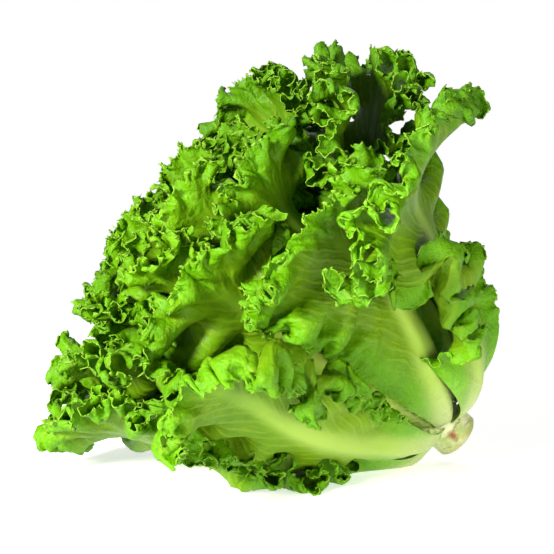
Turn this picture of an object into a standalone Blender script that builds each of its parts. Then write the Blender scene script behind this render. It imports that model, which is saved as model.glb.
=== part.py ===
"""Green leaf lettuce: one cut head that lies on its side. Metres, +Z up, resting on Z = 0.

Every leaf lives in polar coordinates about the stump: reach r, opening angle psi from the head's
axis, and turn theta round it. Leaves differ by a fixed step in psi and by the golden angle in
theta, so two leaves that share a turn never share an opening angle and cannot cross.
"""

import math

import bpy
import numpy as np
from mathutils import Matrix

MM = 0.001

# The head as a whole. STUMP_POINT is the polar centre, and the axes say how the head lies.
LEAF_COUNT = 22
OUTER_LEAVES = 8
MIDDLE_LEAVES = 8
STUMP_POINT = np.array((108.4, 38.4, 26.0)) * MM
HEAD_AXIS = np.array((-0.73, -0.22, 0.65))
TOWARDS_VIEWER = np.array((0.0, -1.0, 0.0))

# Angles in degrees: the innermost leaf's opening, the step to the next, and the turns.
INNER_OPENING = 8.0
OPENING_STEP = 2.6
FIRST_TURN = 52.5
GOLDEN_ANGLE = 137.508
OUTERMOST_NUDGE = 9.0
LEAF_HALF_SPREAD = 39.0
SPREAD_POWER = 6.0

# Leaves leave the stump wide, close in with their reach and flare at the tip.
WIDE_START = 1.5
CLOSING_REACH = 420.0 * MM
FLARE = 0.10
FLARE_FROM = 175.0 * MM
FLARE_OVER = 60.0 * MM

# The head is flatter from front to back, and its right side is pressed in past the stump.
FRONT_SHARE = 0.67
FLAT_REACH = 80.0 * MM
RIGHT_SHARE = 0.62
PRESSED_FROM = 20.0 * MM
PRESSED_OVER = 115.0 * MM
RELEASED_SHARE = 0.28
RELEASED_FROM = 170.0 * MM
RELEASED_OVER = 60.0 * MM

# The head settles on the surface. A leaf opened past FREE_OPENING degrees lies flat on it, and
# the lowest leaves rise from it towards their tips, most at RISE_TURN degrees.
FREE_OPENING = 62.0
SETTLE_POWER = 12.0
REST_HEIGHT = 0.7 * MM
TIP_RISE = 32.0 * MM
RISE_FROM = 100.0 * MM
RISE_OVER = 160.0 * MM
RISE_TURN = -50.0
RISE_POWER = 4

# Leaf sizes. LOWER_LENGTH is what the lowest outer leaf gains and the highest loses.
OUTER_LENGTH = 234.0 * MM
INNER_LENGTH = 202.0 * MM
LENGTH_POWER = 0.7
LENGTH_VARIATION = 0.03
LOWER_LENGTH = 5.0 * MM
OUTER_HALF_WIDTH = 86.0 * MM
INNER_HALF_WIDTH = 50.0 * MM
BASE_HALF_WIDTH = 10.0 * MM
WIDEST_AT = 0.76
WIDEN_POWER = 0.8
TIP_POWER = 3.0
VEIN_FOOT = 0.86

# Leaves that differ, counted from the outside: factors on the length, and the degrees that a leaf
# bows sideways at its tip and at its middle.
LENGTH_FACTORS = {2: 0.97, 5: 0.98, 7: 0.94, 10: 1.05, 13: 1.04}
BOWS = {2: (-5.0, 0.0), 4: (12.0, 0.0), 7: (0.0, 13.0), 10: (10.0, 0.0)}
BOW_FROM = 0.15

BLADE_THICK = 0.9 * MM
RIB_THICK = 4.2 * MM
RIB_FADE = 1.3
RIB_WIDTH = 4.0 * MM
RIB_TIP_WIDTH = 1.5 * MM

# Mesh rows of half a leaf, from the spine to the margin: place across the blade and segments.
ROW_PLACES = (0.0, 0.13, 0.45, 0.78, 1.0)
ROW_SEGMENTS = (6, 6, 12, 24, 48)
MARGIN_SAMPLES = 400

# The frill waves the margin, less where the leaf has little room, and the slower fold reaches
# deeper. Angles are in degrees.
WAVE_SEGMENTS = 4
FRILL_ANGLE = 2.9
FRILL_FROM = 0.45
FRILL_SMALLEST = 0.75
FRILL_AT_BASE = 0.15
FRILL_RAMP = 0.12
CALM_POWER = 2
FOLD_ANGLE = 0.8
FOLDS = 3.5
FOLD_POWER = 1.5
FOLD_RAMP = 0.2

# Stump sizes.
STUMP_RADIUS = 15.0 * MM
STUMP_CROWN = 34.0 * MM
STUMP_TAIL = 15.0 * MM
CUT_CHAMFER = 1.5 * MM
STUMP_STEPS = 40
CROWN_STEPS = 12
FIT_GAP = 0.3 * MM
FIT_ROUNDS = 12
FIT_SAMPLES = 9

LEAF_COLOURS = {
    "outer": (0.18, 0.42, 0.03, 1.0),
    "middle": (0.24, 0.52, 0.05, 1.0),
    "heart": (0.42, 0.62, 0.12, 1.0),
}
LEAF_ROUGHNESS = 0.42
STUMP_COLOUR = (0.62, 0.68, 0.36, 1.0)
STUMP_ROUGHNESS = 0.6


def unit(vector):
    return vector / np.linalg.norm(vector)


AXIS = unit(HEAD_AXIS)
FRONT = unit(TOWARDS_VIEWER - TOWARDS_VIEWER.dot(AXIS) * AXIS)
SIDE = np.cross(AXIS, FRONT)


def smooth_step(x):
    x = np.clip(x, 0.0, 1.0)
    return x * x * (3.0 - 2.0 * x)


def stump_reach(psi):
    """How far the stump's crown reaches from the polar centre, at an opening angle."""
    return 1.0 / np.hypot(np.sin(psi) / STUMP_RADIUS, np.cos(psi) / STUMP_CROWN)


def bulge(r):
    """A factor on every leaf's opening angle, for the head's profile."""
    return WIDE_START - r / CLOSING_REACH + FLARE * smooth_step((r - FLARE_FROM) / FLARE_OVER)


def floor_limit(theta, r):
    """The opening angle at which a turn and a reach meet the surface below."""
    along = AXIS[2]
    across = np.cos(theta) * FRONT[2] + np.sin(theta) * SIDE[2]
    size = np.hypot(along, across)
    facing = np.clip(np.cos(theta - math.radians(RISE_TURN)), 0.0, 1.0) ** RISE_POWER
    height = REST_HEIGHT + TIP_RISE * facing * smooth_step((r - RISE_FROM) / RISE_OVER)
    down = np.clip((height - STUMP_POINT[2]) / (r * size), -1.0, 1.0)
    return np.arctan2(across, along) + np.arccos(down)


def wanted_share(theta, r):
    """How much narrower than a round head this one is, at a turn and a reach."""
    narrow = (1.0 - FRONT_SHARE) * np.cos(theta) ** 2 * smooth_step(r / FLAT_REACH)
    pressed = (1.0 - RIGHT_SHARE) * smooth_step((r - PRESSED_FROM) / PRESSED_OVER)
    released = RELEASED_SHARE * smooth_step((r - RELEASED_FROM) / RELEASED_OVER)
    closed = pressed * (1.0 - released) * np.clip(np.sin(theta), 0.0, 1.0) ** 2
    return 1.0 - narrow - closed


def settle(theta, r, psi):
    """The opening angle once the head lies on the surface. It keeps the order of the leaves."""
    floor = floor_limit(theta, r)
    share = np.array((floor / (math.radians(FREE_OPENING) * bulge(r)), wanted_share(theta, r)))
    lying = psi * (share**-SETTLE_POWER).sum(0) ** (-1.0 / SETTLE_POWER)
    return np.minimum(lying, floor)


def head_point(theta, r, psi):
    psi = settle(theta, r, psi)
    radial = np.cos(theta)[..., None] * FRONT + np.sin(theta)[..., None] * SIDE
    ray = np.cos(psi)[..., None] * AXIS + np.sin(psi)[..., None] * radial
    return STUMP_POINT + r[..., None] * ray


class Leaf:
    """One leaf's place in the head and the sizes that follow from it. Index 0 is innermost."""

    def __init__(self, index):
        rng = np.random.RandomState(100 + index)
        outward = index / (LEAF_COUNT - 1)
        self.opening = math.radians(INNER_OPENING + OPENING_STEP * index)
        self.turn = math.radians(FIRST_TURN + GOLDEN_ANGLE * (LEAF_COUNT - 2 - index))
        if index == LEAF_COUNT - 1:
            self.turn += math.radians(OUTERMOST_NUDGE)
        self.length = INNER_LENGTH + (OUTER_LENGTH - INNER_LENGTH) * outward**LENGTH_POWER
        self.length *= 1.0 + LENGTH_VARIATION * rng.uniform(-1, 1)
        self.length -= LOWER_LENGTH * math.sin(self.turn) * outward
        self.length *= LENGTH_FACTORS.get(LEAF_COUNT - index, 1.0)
        self.tip_bow, self.middle_bow = BOWS.get(LEAF_COUNT - index, (0.0, 0.0))
        self.half_width = INNER_HALF_WIDTH + (OUTER_HALF_WIDTH - INNER_HALF_WIDTH) * outward
        self.fold_phase = rng.uniform(0, 2 * math.pi)
        waves = ROW_SEGMENTS[-1] // WAVE_SEGMENTS + 1
        self.wave_size = rng.uniform(FRILL_SMALLEST, 1.0, size=(2, waves))
        self.start = self.meet_stump()

    def meet_stump(self):
        """The reach at which the leaf's foot clears the stump's crown all along its width."""
        turns = self.turn + math.radians(LEAF_HALF_SPREAD) * np.linspace(-1.0, 1.0, FIT_SAMPLES)
        reach = STUMP_RADIUS
        for _ in range(FIT_ROUNDS):
            psi = settle(turns, np.full_like(turns, reach), self.opening * bulge(reach))
            reach = float(stump_reach(psi).max())
        return reach + FIT_GAP

    def half_width_at(self, s):
        """Half the flat leaf's width at a share s of its length."""
        widen = smooth_step(s / WIDEST_AT) ** WIDEN_POWER
        body = BASE_HALF_WIDTH + (self.half_width - BASE_HALF_WIDTH) * widen
        tip = np.clip((s - WIDEST_AT) / (1.0 - WIDEST_AT), 0.0, 1.0)
        return body * np.sqrt(1.0 - tip**TIP_POWER)

    def margin(self, t):
        """Place along the leaf and half width at t: 0 is the base and 1 the tip, by arc length."""
        s = 1.0 - np.linspace(1.0, 0.0, MARGIN_SAMPLES) ** 2
        width = self.half_width_at(s)
        steps = np.hypot(np.diff(s) * self.length, np.diff(width))
        travelled = np.concatenate(([0.0], np.cumsum(steps)))
        s_at = np.interp(t, travelled / travelled[-1], s)
        return s_at, np.interp(s_at, s, width)

    def frill(self, t, v, side):
        """The waved margin, as a change in opening angle."""
        wave = t * ROW_SEGMENTS[-1] / WAVE_SEGMENTS
        size = np.interp(wave, np.arange(self.wave_size.shape[1]), self.wave_size[side])
        rise = smooth_step((v - FRILL_FROM) / (1.0 - FRILL_FROM))
        rise = rise * smooth_step(t / FRILL_RAMP + FRILL_AT_BASE)
        return math.radians(FRILL_ANGLE) * size * rise * np.cos(2 * math.pi * wave)

    def fold(self, t, v, hand):
        """Slow undulation that reaches deeper into the blade."""
        wave = np.sin(2 * math.pi * FOLDS * (1.0 - t) * hand + self.fold_phase)
        return math.radians(FOLD_ANGLE) * v**FOLD_POWER * smooth_step(t / FOLD_RAMP) * wave

    def reach(self, s_margin, v):
        return self.start + self.length * s_margin * (VEIN_FOOT + (1.0 - VEIN_FOOT) * v)

    def bow(self, r):
        """How far the leaf has turned sideways at a reach."""
        s = np.clip((r - self.start) / self.length, 0.0, 1.0)
        at_tip = self.tip_bow * smooth_step((s - BOW_FROM) / (1.0 - BOW_FROM))
        return np.radians(at_tip + self.middle_bow * np.sin(math.pi * s))

    def room(self, r, width):
        """The half turn that a half width needs, and the share of it that the head leaves."""
        needed = width / (r * np.sin(settle(self.turn, r, self.opening * bulge(r))))
        crowding = (needed / math.radians(LEAF_HALF_SPREAD)) ** SPREAD_POWER
        return needed, (1.0 + crowding) ** (-1.0 / SPREAD_POWER)

    def surface(self, t, v, side):
        """Points at t along the margin and v across, from spine to margin, on side 0 or 1."""
        hand = 2 * side - 1
        s_margin, width = self.margin(t)
        r = self.reach(s_margin, v)
        needed, share = self.room(r, width)
        theta = self.turn + self.bow(r) + hand * v * needed * share
        calm = self.room(r, self.half_width)[1] ** CALM_POWER
        ruffle = calm * self.frill(t, v, side) + self.fold(t, v, hand)
        return head_point(theta, r, self.opening * bulge(r) + ruffle)

    def thickness(self, t, v):
        """Thickness with the midrib, as a share of the rib's thickness at the base."""
        s_margin, width = self.margin(t)
        across = v * width * self.room(self.reach(s_margin, v), width)[1]
        left = 1.0 - s_margin * VEIN_FOOT
        rib = left**RIB_FADE * np.exp(-((across / (RIB_TIP_WIDTH + RIB_WIDTH * left)) ** 2))
        blade = BLADE_THICK / RIB_THICK
        return blade + (1.0 - blade) * rib


def zip_rows(outer, inner):
    """Triangles between two rows of vertex numbers, where outer has as many segments or twice."""
    faces = []
    ratio = (len(outer) - 1) // (len(inner) - 1)
    for j in range(len(inner) - 1):
        a, b = inner[j], inner[j + 1]
        if ratio == 1:
            c, d = outer[j], outer[j + 1]
            faces += [(a, c, b), (c, d, b)]
        else:
            c, d, e = outer[2 * j], outer[2 * j + 1], outer[2 * j + 2]
            faces += [(c, d, a), (a, d, b), (d, e, b)]
    return faces


def leaf_sheet(name, leaf):
    """The leaf as an open sheet, its halves joined at the spine, and each vertex's thickness."""
    points, weights, rows = [], [], {}
    for side in (0, 1):
        for place, segments in zip(ROW_PLACES, ROW_SEGMENTS):
            t = np.linspace(0.0, 1.0, segments + 1)
            v = np.full_like(t, place)
            where = leaf.surface(t, v, side)
            thick = leaf.thickness(t, v)
            numbers = []
            for i in range(segments + 1):
                shared = side == 1 and (place == 0.0 or i == segments)
                if shared:
                    numbers.append(rows[0, place][i])
                    continue
                numbers.append(len(points))
                points.append(where[i])
                weights.append(float(thick[i]))
            rows[side, place] = numbers
    faces = []
    for side in (0, 1):
        for inner, outer in zip(ROW_PLACES[:-1], ROW_PLACES[1:]):
            strip = zip_rows(rows[side, outer], rows[side, inner])
            faces += strip if side else [tuple(reversed(f)) for f in strip]
    mesh = bpy.data.meshes.new(name + "_sheet")
    mesh.from_pydata([tuple(p) for p in points], [], faces)
    mesh.update()
    return mesh, weights


def rested_mesh(obj):
    """The object's solid mesh, pressed flat where it would pass below the surface."""
    evaluated = obj.evaluated_get(bpy.context.evaluated_depsgraph_get())
    mesh = bpy.data.meshes.new_from_object(evaluated)
    for vertex in mesh.vertices:
        vertex.co.z = max(vertex.co.z, 0.0)
    return mesh


def add_leaf(name, leaf, material, collection):
    """The sheet is the leaf's inner face, and the blade and its rib thicken it outward."""
    sheet, weights = leaf_sheet(name, leaf)
    obj = bpy.data.objects.new(name, sheet)
    collection.objects.link(obj)
    group = obj.vertex_groups.new(name="thickness")
    for number, weight in enumerate(weights):
        group.add([number], weight, "REPLACE")
    blade = obj.modifiers.new("Blade", "SOLIDIFY")
    blade.thickness = RIB_THICK
    blade.offset = 1.0
    blade.vertex_group = group.name
    obj.data = rested_mesh(obj)
    obj.modifiers.clear()
    bpy.data.meshes.remove(sheet)
    obj.data.name = name
    obj.data.materials.append(material)
    obj.data.shade_smooth()


def add_stump(material, collection):
    """A turned core: flat cut face, short straight side and a domed crown the leaves grow from."""
    profile = [(0.0, STUMP_CROWN)]
    for k in range(1, CROWN_STEPS + 1):
        turn = 0.5 * math.pi * k / CROWN_STEPS
        profile.append((STUMP_RADIUS * math.sin(turn), STUMP_CROWN * math.cos(turn)))
    profile.append((STUMP_RADIUS, CUT_CHAMFER - STUMP_TAIL))
    profile.append((STUMP_RADIUS - CUT_CHAMFER, -STUMP_TAIL))
    profile.append((0.0, -STUMP_TAIL))
    mesh = bpy.data.meshes.new("stump")
    edges = [(i, i + 1) for i in range(len(profile) - 1)]
    mesh.from_pydata([(x, 0.0, z) for x, z in profile], edges, [])
    mesh.materials.append(material)
    obj = bpy.data.objects.new("stump", mesh)
    collection.objects.link(obj)
    turned = obj.modifiers.new("Turned", "SCREW")
    turned.steps = STUMP_STEPS
    turned.render_steps = STUMP_STEPS
    turned.use_merge_vertices = True
    turned.merge_threshold = 0.01 * MM
    placed = np.eye(4)
    placed[:3, :3] = np.column_stack((FRONT, SIDE, AXIS))
    placed[:3, 3] = STUMP_POINT
    obj.matrix_world = Matrix(placed.tolist())


def finish_material(name, colour, roughness):
    material = bpy.data.materials.new(name)
    material.use_nodes = True
    shader = material.node_tree.nodes["Principled BSDF"]
    shader.inputs["Base Color"].default_value = colour
    shader.inputs["Roughness"].default_value = roughness
    material.diffuse_color = colour
    return material


def ring_of(index):
    """The ring a leaf belongs to, and its number there, counted from the outside."""
    from_outside = LEAF_COUNT - index
    if from_outside <= OUTER_LEAVES:
        return "outer", from_outside
    if from_outside <= OUTER_LEAVES + MIDDLE_LEAVES:
        return "middle", from_outside - OUTER_LEAVES
    return "heart", from_outside - OUTER_LEAVES - MIDDLE_LEAVES


def main():
    for obj in list(bpy.data.objects):
        bpy.data.objects.remove(obj)
    collection = bpy.data.collections.new("green_leaf_lettuce")
    bpy.context.scene.collection.children.link(collection)
    add_stump(finish_material("stump", STUMP_COLOUR, STUMP_ROUGHNESS), collection)
    finishes = {}
    for ring, colour in LEAF_COLOURS.items():
        finishes[ring] = finish_material(ring + "_leaf", colour, LEAF_ROUGHNESS)
    for index in range(LEAF_COUNT):
        ring, number = ring_of(index)
        add_leaf(f"{ring}_leaf_{number}", Leaf(index), finishes[ring], collection)


main()
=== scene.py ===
"""Green leaf lettuce, dressed: fine frilled leaves in place of the plain ones, and a cut stump.

Each leaf starts on the same smooth surface as its solid. Its margin is then grown longer than the
blade can hold flat, and a relaxation lets it buckle into frills, as the margin of a real leaf does.
Last, the frills are crinkled and cut into lobes and teeth.

Every leaf lives in polar coordinates about the stump: reach r, opening angle psi from the head's
axis, and turn theta round it. On a leaf, t goes from the foot to the tip along the margin, v goes
from the spine to the margin, and hand is -1 or 1 for the halves with lower and higher turns.
"""

import math
from collections import namedtuple

import bpy
import numpy as np
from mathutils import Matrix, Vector


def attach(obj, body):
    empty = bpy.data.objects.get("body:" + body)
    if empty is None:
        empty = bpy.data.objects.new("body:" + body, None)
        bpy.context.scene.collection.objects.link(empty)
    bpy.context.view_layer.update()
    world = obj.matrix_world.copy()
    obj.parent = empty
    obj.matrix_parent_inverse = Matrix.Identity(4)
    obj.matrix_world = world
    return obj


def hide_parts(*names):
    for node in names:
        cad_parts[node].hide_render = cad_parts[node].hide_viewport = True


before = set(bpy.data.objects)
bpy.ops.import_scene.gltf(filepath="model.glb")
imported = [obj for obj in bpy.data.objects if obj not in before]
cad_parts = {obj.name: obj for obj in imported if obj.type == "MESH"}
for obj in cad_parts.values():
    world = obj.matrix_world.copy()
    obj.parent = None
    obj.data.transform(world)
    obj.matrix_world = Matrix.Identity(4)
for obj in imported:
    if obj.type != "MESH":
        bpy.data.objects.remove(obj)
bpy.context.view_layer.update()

MM = 0.001
TINY = 1e-12

# The head as a whole, as the solids have it. STUMP_POINT is the polar centre.
LEAF_COUNT = 22
OUTER_LEAVES = 8
MIDDLE_LEAVES = 8
STUMP_POINT = np.array((108.4, 38.4, 26.0)) * MM
HEAD_AXIS = np.array((-0.73, -0.22, 0.65))
TOWARDS_VIEWER = np.array((0.0, -1.0, 0.0))

# Angles in degrees: the innermost leaf's opening, the step to the next, and the turns.
INNER_OPENING = 8.0
OPENING_STEP = 2.6
FIRST_TURN = 52.5
GOLDEN_ANGLE = 137.508
OUTERMOST_NUDGE = 9.0
LEAF_HALF_SPREAD = 39.0
SPREAD_POWER = 6.0

# Leaves leave the stump wide, close in with their reach and flare at the tip.
WIDE_START = 1.5
CLOSING_REACH = 420.0 * MM
FLARE = 0.10
FLARE_FROM = 175.0 * MM
FLARE_OVER = 60.0 * MM

# The head is flatter from front to back, and its right side is pressed in past the stump.
FRONT_SHARE = 0.67
FLAT_REACH = 80.0 * MM
RIGHT_SHARE = 0.62
PRESSED_FROM = 20.0 * MM
PRESSED_OVER = 115.0 * MM
RELEASED_SHARE = 0.28
RELEASED_FROM = 170.0 * MM
RELEASED_OVER = 60.0 * MM

# The head settles on the surface. A leaf opened past FREE_OPENING degrees lies flat on it, and
# the lowest leaves rise from it towards their tips, most at RISE_TURN degrees.
FREE_OPENING = 62.0
SETTLE_POWER = 12.0
REST_HEIGHT = 0.7 * MM
TIP_RISE = 32.0 * MM
RISE_FROM = 100.0 * MM
RISE_OVER = 160.0 * MM
RISE_TURN = -50.0
RISE_POWER = 4

# The outermost leaf lifts off the surface towards its tip, so that its frills have room.
LIFT_ANGLE = 7.2
LIFT_FROM = 110.0 * MM
LIFT_OVER = 100.0 * MM

# Leaf sizes, as the solids have them. LOWER_LENGTH is what the lowest outer leaf gains and the
# highest loses, and NUDGE is a small step for slopes.
LEAF_SEED = 100
OUTER_LENGTH = 234.0 * MM
INNER_LENGTH = 202.0 * MM
LENGTH_POWER = 0.7
LENGTH_VARIATION = 0.03
LOWER_LENGTH = 5.0 * MM
OUTER_HALF_WIDTH = 86.0 * MM
INNER_HALF_WIDTH = 50.0 * MM
BASE_HALF_WIDTH = 10.0 * MM
WIDEST_AT = 0.76
WIDEN_POWER = 0.8
TIP_POWER = 3.0
VEIN_FOOT = 0.86
MARGIN_SAMPLES = 400
NUDGE = 0.001

# Leaves that differ, counted from the outside: factors on the length, and the degrees that a leaf
# bows sideways at its tip and at its middle.
LENGTH_FACTORS = {2: 0.97, 5: 0.98, 7: 0.94, 10: 1.05, 13: 1.04}
BOWS = {2: (-5.0, 0.0), 4: (12.0, 0.0), 7: (0.0, 13.0), 10: (10.0, 0.0)}
BOW_FROM = 0.15

# A slow fold that reaches deep into the blade. Its angle is in degrees.
FOLD_ANGLE = 0.8
FOLDS = 3.5
FOLD_POWER = 1.5
FOLD_RAMP = 0.2

# Stump sizes, as the solid has them, and how a leaf's foot is fitted to its crown.
STUMP_RADIUS = 15.0 * MM
STUMP_CROWN = 34.0 * MM
STUMP_TAIL = 15.0 * MM
FIT_GAP = 0.3 * MM
FIT_ROUNDS = 12
FIT_SAMPLES = 9

# Thickness of the finished leaf, whose blade is thinner than the solid's.
BLADE_THICK = 0.5 * MM
RIB_THICK = 4.2 * MM
RIB_FADE = 1.3
RIB_WIDTH = 4.0 * MM
RIB_TIP_WIDTH = 1.5 * MM

# Margins rolled over: leaf counted from the outside, hand, place across the blade where the roll
# starts, its radius (negative where it rolls inward), the degrees it turns through at most, and
# the shares of the leaf's length between which it is rolled.
Roll = namedtuple("Roll", "leaf hand start radius most begin end")
ROLLS = (
    Roll(1, 1, 0.20, -13.0 * MM, 90.0, -0.20, 0.34),
    Roll(1, 1, 0.66, -16.0 * MM, 70.0, 0.20, 2.00),
    Roll(2, -1, 0.26, -16.0 * MM, 80.0, 0.03, 0.36),
    Roll(2, -1, 0.36, 9.0 * MM, 220.0, 0.26, 0.74),
    Roll(2, 1, 0.60, 10.0 * MM, 220.0, 0.03, 0.50),
    Roll(2, 1, 0.72, 8.0 * MM, 170.0, 0.74, 2.00),
    Roll(4, 1, 0.65, 5.5 * MM, 200.0, -0.20, 2.00),
    Roll(4, 1, 0.46, 8.0 * MM, 190.0, 0.52, 2.00),
    Roll(4, -1, 0.60, 8.0 * MM, 200.0, 0.44, 2.00),
    Roll(5, 1, 0.70, 9.0 * MM, 200.0, 0.03, 2.00),
    Roll(7, 1, 0.12, -12.0 * MM, 100.0, -0.20, 0.66),
    Roll(9, 1, 0.78, 8.0 * MM, 240.0, 0.03, 2.00),
)
ROLL_FADE = 0.14

# Rows of half a leaf from the margin to the spine: place across the blade, and how often the
# margin's segments are halved there. The coarse sheet takes the deep waves, the fine one the rest.
COARSE_ROWS = (
    (1.0, 0), (0.965, 0), (0.92, 1), (0.86, 1), (0.78, 2), (0.68, 2), (0.56, 3), (0.42, 3),
    (0.28, 3), (0.15, 3), (0.07, 3), (0.0, 3),
)
FINE_ROWS = (
    (1.0, 0), (0.988, 0), (0.974, 1), (0.957, 1), (0.937, 1), (0.912, 2), (0.882, 2), (0.845, 2),
    (0.8, 3), (0.745, 3), (0.68, 3), (0.6, 3), (0.51, 4), (0.42, 4), (0.33, 4), (0.25, 4),
    (0.175, 4), (0.115, 4), (0.06, 4), (0.0, 4),
)
COARSE_SEGMENTS = 320
FINE_SEGMENTS = {"outer": 1280, "middle": 1024, "heart": 640}

# Growth of the margin beyond the smooth leaf's length: shares, and the depth over which each fades.
# The coarse sheet takes the first COARSE_GROWTH of them.
GROWTH = ((0.40, 42.0 * MM), (1.45, 18.0 * MM), (1.40, 6.0 * MM))
COARSE_GROWTH = 2

# More growth round the tip, from a share of the leaf's length on.
TIP_GROWTH = 0.55
TIP_GROWTH_REACH = 75.0 * MM
TIP_GROWTH_FROM = {"outer": 0.62, "middle": 0.42, "heart": 0.42}
TIP_GROWTH_OVER = 0.30

# Growth starts at a share of the margin's length, later on some leaves (counted from the outside),
# and leaves a calm strip beside the rib.
GROWTH_START = 0.12
LATE_GROWTH = {2: 0.20, 4: 0.16, 7: 0.38}
GROWTH_RAMP = 0.25
CALM_WIDTH = {"outer": 17.0 * MM, "middle": 8.0 * MM, "heart": 6.0 * MM}
CALM_FADE = 22.0 * MM

# Waves that start the buckling: count round half a leaf, height, depth in the blade and wander.
FRILL_SEED = 900
COARSE_WAVES = ((10, 5.0 * MM, 40.0 * MM, 0.8), (34, 4.0 * MM, 18.0 * MM, 1.2))
FINE_WAVES = ((66, 1.6 * MM, 5.0 * MM, 1.8),)
WAVE_SIZE = 0.8
WAVE_VARIATION = 0.4
WAVE_FADE_POWER = 1.2

# Relaxation: rounds, how a point moves in one, and the share of the rounds in which growth rises.
COARSE_ROUNDS = 240
FINE_ROUNDS = 130
MOMENTUM = 0.8
STEP = 1.2
LARGEST_MOVE = 0.8 * MM
GROWING_SHARE = 0.65
BENDING = 0.10

# Near the spine and the foot the relaxing sheet is held to the smooth leaf, and fixed at both.
SPINE_HOLD = 0.06
SPINE_HELD = 0.12
SPINE_FADE = 0.34
SPINE_FIXED = 0.04
FOOT_HOLD = 0.15
FOOT_HELD = 0.08

# Room between leaves, in degrees. The nearest leaf inward is NEAR_NEIGHBOUR leaves further in at a
# higher turn, and FAR_NEIGHBOUR at a lower one. Outward it is the other way round. A margin gets
# more room, and one that rolls inward is let through. It is kept every ROOM_INTERVAL rounds.
NEAR_NEIGHBOUR = 3
FAR_NEIGHBOUR = 5
NEAR_ROOM = 3.9
FAR_ROOM = 6.5
FREE_ROOM = 16.0
ROLL_ROOM = 40.0
SIDE_CHANGE = 6.0
MARGIN_ROOM = 0.7
MARGIN_ROOM_REACH = 35.0 * MM
ROOM_INTERVAL = 5

# Crinkles of the outermost strip: length along the grown margin, height, depth in the blade.
CRINKLES = ((5.0 * MM, 2.2 * MM, 7.0 * MM), (1.9 * MM, 1.3 * MM, 3.0 * MM))
CRINKLE_FADE_POWER = 1.5

# Teeth of the cut margin and the lobes that carry them, with each row's share of them from the
# margin inward. POINT_HEIGHTS is the range of their heights, and POINT_INSET is cut off all round.
TOOTH_LENGTH = 4.0 * MM
TOOTH_DEPTH = 4.2 * MM
TOOTH_SHARES = (1.0, 0.35, 0.0, 0.0, 0.0)
LOBE_LENGTH = 13.0 * MM
LOBE_DEPTH = 4.5 * MM
LOBE_SHARES = (1.0, 0.7, 0.42, 0.2, 0.07)
POINT_SHARPNESS = 1.5
POINT_HEIGHTS = (0.35, 1.0)
POINT_SHIFT = 0.3
POINT_INSET = 0.25

# Leaf colours. A finish's foot says how far the foot turns whitish.
LEAF_FINISHES = {
    "outer": dict(frill=(0.12, 0.35, 0.001, 1), blade=(0.11, 0.25, 0.001, 1), foot=1.0),
    "middle": dict(frill=(0.11, 0.32, 0.001, 1), blade=(0.115, 0.275, 0.001, 1), foot=0.3),
    "heart": dict(frill=(0.135, 0.36, 0.0015, 1), blade=(0.14, 0.33, 0.0015, 1), foot=0.2),
}
# DARK_GREEN darkens random patches, and is also painted shade on the top of the head.
DARK_GREEN = (0.03, 0.115, 0.001, 1)
PALE_GREEN = (0.23, 0.38, 0.008, 1)
VEIN_COLOUR = (0.27, 0.41, 0.018, 1)
RIB_COLOUR = (0.29, 0.43, 0.06, 1)
FOOT_COLOUR = (0.45, 0.54, 0.22, 1)
EDGE_COLOUR = (0.30, 0.52, 0.05, 1)

# Light from behind that comes through a thin blade, and how much of GLOW_COLOUR it takes on.
TRANSLUCENT_SHARE = 0.18
GLOW_COLOUR = (0.34, 0.62, 0.01, 1)
GLOW_SHARE = 0.35

# Pattern of the blade, with lengths in millimetres on the flat leaf: the painted rib's half width
# at the tip and how much wider it is at the foot, and the side veins' spacing, slant and wander.
PAINTED_RIB = 4.0
PAINTED_RIB_MORE = 15.0
VEIN_SPACING = 13.0
VEIN_SLANT = 1.9
VEIN_WANDER = 2.2
STREAK_SHARE = 0.8
NET_SHARE = 0.3
NET_WARP = (7.0, 7.0, 0.0)

# The stump: scars of broken leaves, as distance from the polar centre and strength, and the brown
# stain that faces the viewer.
SCARS = ((3.0 * MM, 0.55), (9.0 * MM, 0.75))
STAIN_TOWARDS_CUT = 6.0 * MM
STAIN_RADIUS = 5.5 * MM
STUMP_WOBBLE = 9.0 * MM
STUMP_GREEN = (0.36, 0.45, 0.14, 1)
STUMP_WHITE = (0.66, 0.68, 0.42, 1)
CUT_BROWN = (0.34, 0.22, 0.06, 1)
SCAR_BROWN = (0.22, 0.13, 0.03, 1)
STAIN_BROWN = (0.33, 0.14, 0.025, 1)
STAIN_CORE = (0.20, 0.045, 0.008, 1)

# Camera: the photograph's frame is square, and MM_PER_PIXEL holds in the object's plane.
FRAME_PIXELS = 554
MM_PER_PIXEL = 0.6
REST_LINE_PIXEL = 478.5
CAMERA_ELEVATION = math.radians(6.0)
CAMERA_DISTANCE = 1.1
CAMERA_SIDEWAYS = 5.5 * MM
SENSOR = 36.0

# Floor: lit from within, and turning plain white between two distances from the object.
FLOOR_HALF = 60.0
FLOOR_TONES = ((0.90, 0.91, 0.90, 1), (0.95, 0.96, 0.95, 1))
FLOOR_GLOW = 0.6
FLOOR_FADE = (0.35, 1.1)

# Lights: name, place, size, power and colour. All aim at one point in the head.
LIGHTS = (
    ("key", (-0.95, -1.25, 0.60), 0.34, 66.0, (1.0, 0.98, 0.84)),
    ("fill", (0.7, -1.4, 0.12), 0.7, 20.0, (1.0, 0.98, 0.85)),
    ("back", (0.1, 1.0, 1.2), 0.8, 8.0, (1, 1, 1)),
)
LIGHT_AIM = (0.0, 0.0, 0.12)
AMBIENT_STRENGTH = 0.16
WHITE = (1, 1, 1, 1)


def unit(vector):
    return vector / np.linalg.norm(vector)


AXIS = unit(HEAD_AXIS)
FRONT = unit(TOWARDS_VIEWER - TOWARDS_VIEWER.dot(AXIS) * AXIS)
SIDE = np.cross(AXIS, FRONT)


def smooth_step(x):
    x = np.clip(x, 0.0, 1.0)
    return x * x * (3.0 - 2.0 * x)


def normalised(vectors):
    return vectors / np.maximum(np.linalg.norm(vectors, axis=1), TINY)[:, None]


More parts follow.
